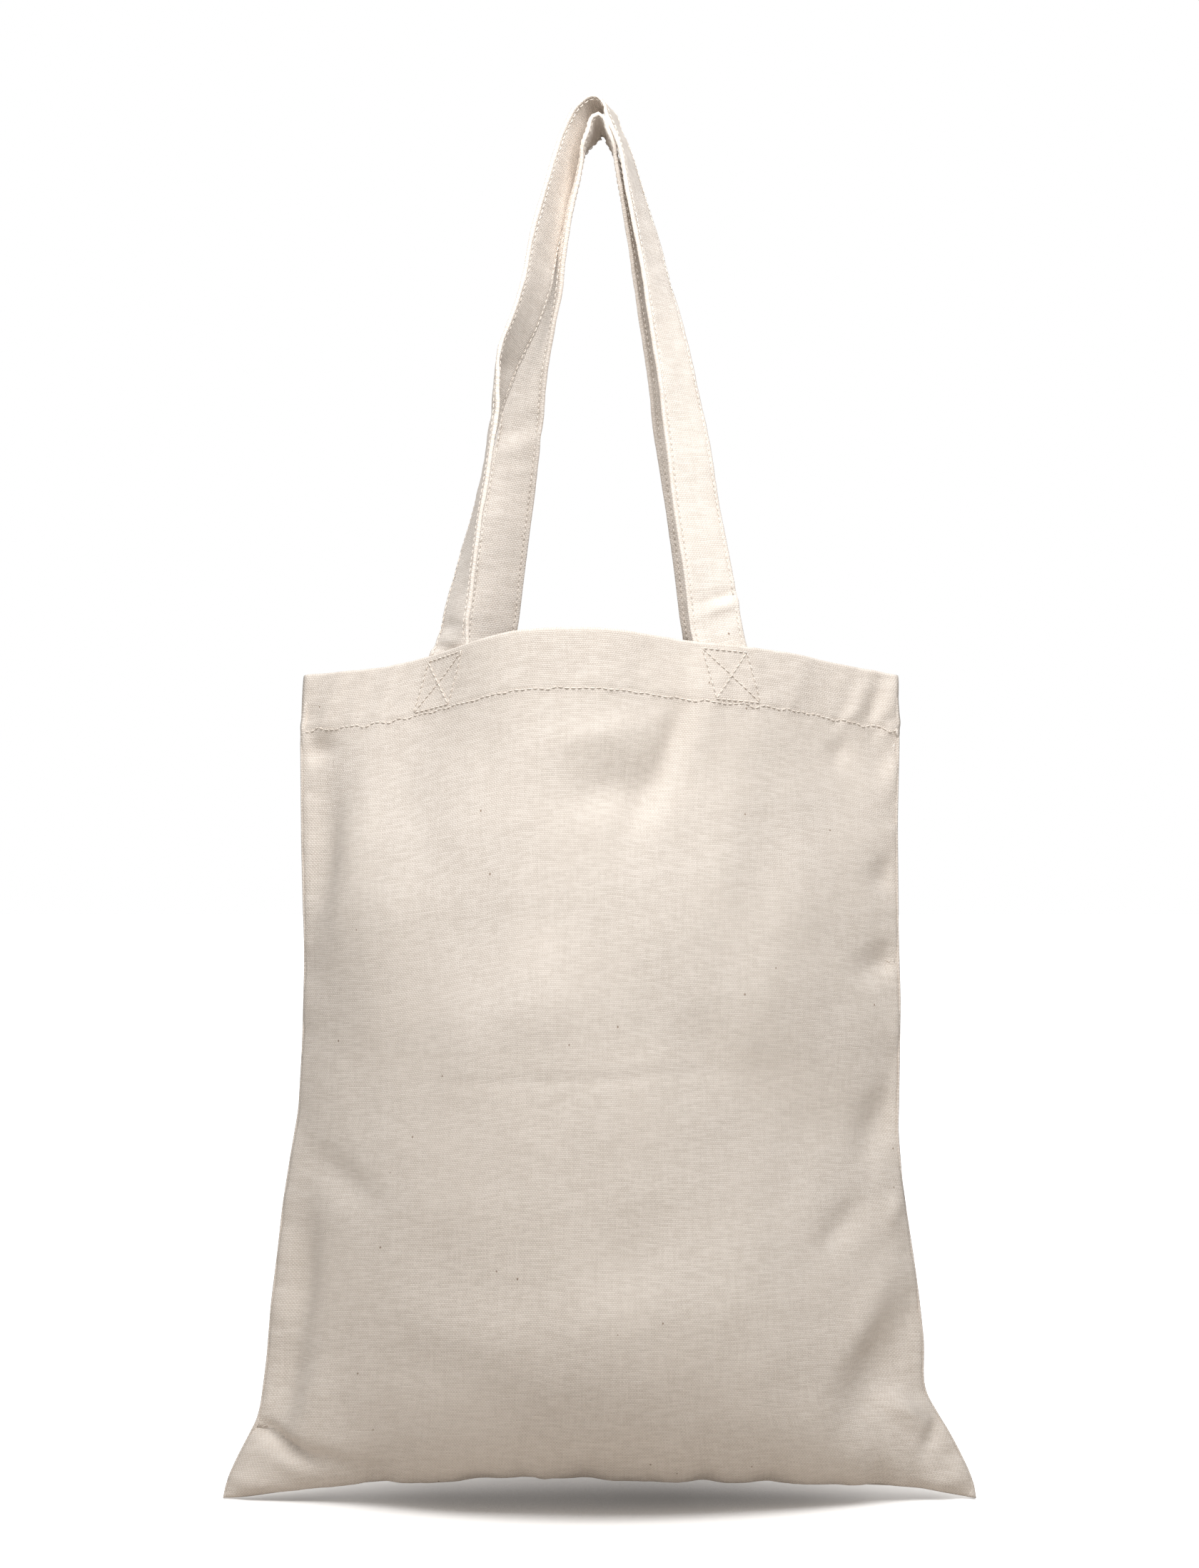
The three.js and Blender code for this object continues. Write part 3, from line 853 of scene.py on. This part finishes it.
def floor_material():
    """A white floor that throws less light back at the bag than it shows, with a painted shadow close
    under the bag.
    """
    n = Nodes("pale_floor")
    seen = n.new("ShaderNodeLightPath").outputs["Is Camera Ray"]
    # ambient occlusion paints a shadow on the floor close under the bag
    open_sky = n.new("ShaderNodeAmbientOcclusion", samples=8)
    open_sky.inputs["Distance"].default_value = 0.16
    shown = n.mix(open_sky.outputs["AO"], FLOOR_SHADE, FLOOR_SHOWN)
    n.link(n.mix(seen, FLOOR_BOUNCE, shown), n.shader.inputs["Base Color"])
    n.shader.inputs["Roughness"].default_value = 1.0
    n.shader.inputs["Specular IOR Level"].default_value = 0.0
    n.shader.inputs["Emission Color"].default_value = [1, 1, 1, 1]
    n.link(n.math("MULTIPLY", seen, FLOOR_GLOW), n.shader.inputs["Emission Strength"])
    return n.material


CANVAS_LOOK = canvas_material("cotton_canvas", (0.832, 0.766, 0.698), (0.83, 0.745, 0.66))
# The straps are the same canvas as the panels; their paler colour is painted light, for the stronger
# light that falls on them.
STRAP_LOOK = canvas_material("strap_canvas", (0.855, 0.792, 0.728), (0.86, 0.765, 0.68))
THREAD_LOOK = thread_material()

# ---- the bag ---------------------------------------------------------------------------------------

front = Panel(-1, FRONT_MOUTH_RISE, FRONT_MOUTH_OUT, FRONT_FOLDS, FRONT_PUCKERS, 11)
back = Panel(1, BACK_MOUTH_RISE, BACK_MOUTH_OUT, BACK_FOLDS, BACK_PUCKERS, 47)


def add_to_bag(piece, node):
    """A piece that stays with the bag and stands for that CAD node."""
    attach(piece, "bag")
    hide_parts(node)
    return piece


def hem_stitching(panel, name, node):
    """The hem's row of stitches, which wanders most near its ends."""
    s = np.linspace(-0.985, 0.985, 260)
    wander = 0.35 * wobble(s * FLAT_HALF_WIDTH, panel.seed + 9, 14) * (0.5 + np.abs(s))
    row = panel.at(s, 1 - (HEM_LINE + wander) / BODY_HEIGHT, STITCH_LIFT)
    return add_to_bag(stitch_object(name, [row]), node)


def box_rows(panel, x):
    """A box of stitching with a cross in it, through the hem and the strap end behind it."""
    half = (STRAP_HALF - BOX_MARGIN) * panel.slope_at(x)
    corners = []
    for sign, down in ((-1, BOX_TOP), (1, BOX_TOP), (1, BOX_BOTTOM), (-1, BOX_BOTTOM)):
        across = x + sign * half + np.sign(x) * FOOT_SPLAY * down
        corners.append((panel.s_at(across), 1 - down / BODY_HEIGHT))
    rows = []
    for a, b in ((0, 1), (1, 2), (2, 3), (3, 0), (0, 2), (3, 1)):
        s, t = np.linspace(corners[a], corners[b], 24).T
        rows.append(panel.at(s, t, STITCH_LIFT))
    return rows


def canvas_sheet(name, panel):
    """A panel's cloth, and the stitching of its hem."""
    cloth = add_to_bag(panel_mesh(f"{name}_canvas", panel, CANVAS_LOOK), f"{name}_panel")
    return [cloth, hem_stitching(panel, f"{name}_hem_stitches", f"{name}_hem_stitching")]


# The pieces of each panel's sheet, cloth first; the handles add the boxes that sew them in
canvas_pieces = {"front": canvas_sheet("front", front), "back": canvas_sheet("back", back)}

# One side of the seam allowances' section: share of their width, and share of their half thickness
SEAM_SECTION = [(0, 0.7), (0.25, 0.95), (0.6, 0.9), (0.85, 1.0), (1, 0.4)]
SEAM_HALF = 0.75
SEAM_STEP = 2.5                # cloth from one point of a seam to the next, for the weave
SIDE_SEAM_FOOT = 34.0          # height where the side seams' loose edges begin
BOTTOM_SEAM_LIFT = 1.6         # how far above the bottom seam its loose edges begin


def seam_strip(name, node, line, inward):
    """The overlocked seam allowances inside the bag, as one soft double edge."""
    outline = SEAM_SECTION + [(share, -out) for share, out in SEAM_SECTION[::-1]]
    rows = []
    for share, out in outline:
        rows.append(line + inward * SEAM_ALLOWANCE * share + np.array([0, SEAM_HALF * out, 0]))
    grid = np.array(rows)
    faces = ring_faces(*grid.shape[:2]) + end_faces(*grid.shape[:2])
    widths = SEAM_ALLOWANCE * np.array([share for share, _ in outline])
    uv = cloth_uv(widths, SEAM_STEP * np.arange(len(line)))
    add_to_bag(mesh_object(name, grid.reshape(-1, 3), faces, CANVAS_LOOK, uv), node)


def overlock_rows(line, inward):
    """Threads that run round the seam's raw edge, slanting from stitch to stitch."""
    rows = []
    for sign in (-1.0, 1.0):
        starts = line + inward * (SEAM_ALLOWANCE * 0.35) + np.array([0, sign * 0.82, 0])
        ends = line + inward * (SEAM_ALLOWANCE + 0.1) + np.array([0, sign * 0.55, 0])
        normals = np.tile([0, sign, 0], (4, 1))
        rows += [(np.linspace(a, b, 4), normals) for a, b in zip(starts[:-2], ends[1:-1])]
    return rows


def side_seam(name, sign):
    """The overlocked edges of one side seam, from the bottom corner up to the hem."""
    column = 0 if sign < 0 else -1
    above_foot = front.t * BODY_HEIGHT > SIDE_SEAM_FOOT
    below_hem = (1 - front.t) * BODY_HEIGHT > HEM_DEPTH + 3
    line = front.face[above_foot & below_hem, column].copy()
    line[:, 1] = 0
    inward = np.tile([-float(sign), 0, 0], (len(line), 1))
    line += inward * SEAM_INSET
    seam_strip(f"{name}_allowance", name, line, inward)
    rows = overlock_rows(line, inward)
    threads = stitch_object(f"{name}_overlock", rows, length=4.2, pitch=4.4, radius=0.2)
    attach(threads, "bag")


def bottom_seam():
    """The bottom seam's edges, which stand up inside the bag."""
    line = front.face[0, np.abs(front.s) < 0.9].copy()
    line[:, 1] = 0
    line[:, 2] += BOTTOM_SEAM_LIFT
    seam_strip("bottom_seam_allowance", "bottom_seam", line, np.tile([0, 0, 1.0], (len(line), 1)))


side_seam("left_side_seam", -1)
side_seam("right_side_seam", 1)
bottom_seam()

# ---- the handles -----------------------------------------------------------------------------------

EDGE_STITCH_OUT = 0.98         # from a strap's middle surface to the threads in its grooves

# Creases of each strap: distance along it, place across it, turn, half length, half width, height
FRONT_CREASES = [
    (36, 0, 100, 14, 2.2, 1.2), (43, 2, 96, 14, 3.0, -1.0), (150, 0, 70, 16, 5, -0.6),
    (178, -3, 100, 12, 5, 0.9), (590, -4, 76, 12, 2.2, 1.5), (584, -4, 78, 12, 2.8, -1.3),
    (420, 3, 60, 16, 5, 0.4),
]
BACK_CREASES = [
    (136, 0, 62, 18, 4, 1.1), (146, 0, 62, 18, 5, -1.1), (196, 4, 20, 26, 3.5, -1.0),
    (190, -5, 8, 30, 4, 0.8), (70, -6, 40, 14, 5, -0.5), (520, 0, 110, 14, 5, -0.5),
    (440, 0, 70, 16, 5, 0.5),
]


def handle(name, panel, left, right, feet, crown, tilt, creases, seed):
    """One handle: its strap, the stitching along its edges, and the boxes that sew its ends in."""
    strap = Strap(loop_stations(panel, left, right, feet, crown, tilt))
    loop = strap_mesh(f"{name}_strap", strap, creases, seed, STRAP_LOOK)
    body = f"{name}_handle"
    # the edge stitching stops inside the hem
    first = int(SEWN_LENGTH / Strap.STEP * 0.9)
    last = len(strap.along) - first
    pieces = []
    for edge, sign in (("inner", 1), ("outer", -1)):
        across = sign * (STRAP_HALF - EDGE_MARGIN)
        rows = [strap.row(across, out, first, last) for out in (EDGE_STITCH_OUT, -EDGE_STITCH_OUT)]
        thread = stitch_object(f"{name}_strap_{edge}_edge_stitches", rows)
        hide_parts(f"{body}_{edge}_edge_stitching")
        pieces.append(thread)
    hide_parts(body, f"{name}_left_strap_end", f"{name}_right_strap_end")
    for piece in [loop, *pieces]:
        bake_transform(piece)
    for x, end in zip(feet, ("left", "right")):
        box = stitch_object(f"{name}_{end}_box_stitches", box_rows(panel, x))
        canvas_pieces[name].append(add_to_bag(box, f"{name}_{end}_box_stitching"))
    return loop


straps = {
    "front": handle(
        "front", front, FRONT_LEFT, FRONT_RIGHT, FRONT_FEET, FRONT_CROWN, 2, FRONT_CREASES, 5,
    ),
    "back": handle(
        "back", back, BACK_LEFT, BACK_RIGHT, BACK_FEET, BACK_CROWN, 13, BACK_CREASES, 6,
    ),
}

# ---- floor, light and camera -----------------------------------------------------------------------

FLOOR_GAP = 0.6                # keeps the corner tips from cutting into the floor
CAMERA_DISTANCE = 1350.0
CAMERA_HEIGHT = -334.0
VIEW_HEIGHT = 791.0            # how much the photo spans from top to bottom at the bag
SENSOR = 36.0


def floor():
    """A wide plane just under the bag's corners."""
    reach, z = 6.0, (FLOOR - FLOOR_GAP) * MM
    corners = [(-reach, -reach, z), (reach, -reach, z), (reach, reach, z), (-reach, reach, z)]
    mesh = bpy.data.meshes.new("floor")
    mesh.from_pydata(corners, [], [(0, 1, 2, 3)])
    mesh.materials.append(floor_material())
    plane = add_object("floor", mesh)


def area_light(name, place, aim, size, power):
    light = bpy.data.lights.new(name, "AREA")
    light.shape = "RECTANGLE"
    light.size, light.size_y = size
    light.energy = power
    obj = add_object(name, light)
    obj.location = place
    obj.rotation_euler = (Vector(aim) - Vector(place)).to_track_quat("-Z", "Y").to_euler()


def sun_light(name, azimuth, elevation, spread, strength):
    """Soft daylight; azimuth 0 comes from the front and 90 from the right."""
    light = bpy.data.lights.new(name, "SUN")
    light.energy = strength
    light.angle = math.radians(spread)
    a, e = math.radians(azimuth), math.radians(elevation)
    towards = Vector((math.sin(a) * math.cos(e), -math.cos(a) * math.cos(e), math.sin(e)))
    add_object(name, light).rotation_euler = towards.to_track_quat("Z", "Y").to_euler()


def world(seen, fill):
    """A white studio as the camera sees it, that lights the bag more softly than it looks."""
    studio = bpy.data.worlds.new("studio")
    studio.use_nodes = True
    nodes, links = studio.node_tree.nodes, studio.node_tree.links
    path = nodes.new("ShaderNodeLightPath")
    mix = nodes.new("ShaderNodeMixShader")
    links.new(path.outputs["Is Camera Ray"], mix.inputs[0])
    for socket, background, strength in (
        (mix.inputs[1], nodes["Background"], fill),
        (mix.inputs[2], nodes.new("ShaderNodeBackground"), seen),
    ):
        background.inputs["Color"].default_value = [1, 1, 1, 1]
        background.inputs["Strength"].default_value = strength
        links.new(background.outputs[0], socket)
    links.new(mix.outputs[0], nodes["World Output"].inputs["Surface"])
    bpy.context.scene.world = studio


def camera():
    """Level, straight in front of the bag, as far away as the photo's perspective says."""
    data = bpy.data.cameras.new("camera")
    data.sensor_width = SENSOR
    data.lens = SENSOR * CAMERA_DISTANCE / VIEW_HEIGHT
    data.clip_start, data.clip_end = 0.05, 50
    obj = add_object("camera", data)
    obj.location = (0, -CAMERA_DISTANCE * MM, CAMERA_HEIGHT * MM)
    obj.rotation_euler = (math.radians(90), 0, 0)
    bpy.context.scene.camera = obj


floor()
world(1.0, 0.335)
area_light("key", (0.0, -0.53, 0.29), (0, 0, -0.25), (0.85, 0.3), 7.7)
sun_light("front", 0, 16, 50, 0.5)
sun_light("back", 180, 32, 50, 0.7)
camera()
bpy.context.scene.view_settings.view_transform = "Standard"
